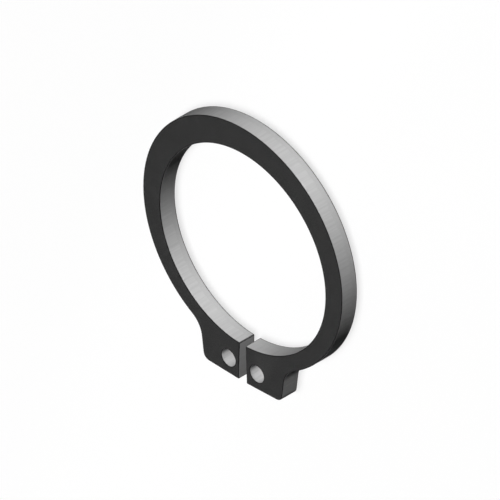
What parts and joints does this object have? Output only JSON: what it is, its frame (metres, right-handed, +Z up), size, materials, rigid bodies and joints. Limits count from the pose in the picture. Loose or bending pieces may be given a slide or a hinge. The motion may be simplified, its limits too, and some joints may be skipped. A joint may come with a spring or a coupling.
{
  "type": "external retaining ring",
  "caption": "Flat external retaining ring of spring steel: an open, tapered band that springs over a shaft into its groove, with a lug and plier hole at each end of the gap.",
  "frame": {"origin": "centre of the bore, on the lower face that the ring lies on", "axes": "+Z up along the bore's axis, through the thickness; +Y from the gap to the widest part of the band; the lugs lie towards -Y, one on each side of the YZ plane"},
  "size_m": [0.0266, 0.0292, 0.002],
  "materials": {
    "spring_steel": "phosphated carbon spring steel: dark matt faces, lighter sheared edges with fine lines across the thickness"
  },
  "bodies": {
    "root": {"retaining_ring": "spring_steel"}
  },
  "joints": []
}
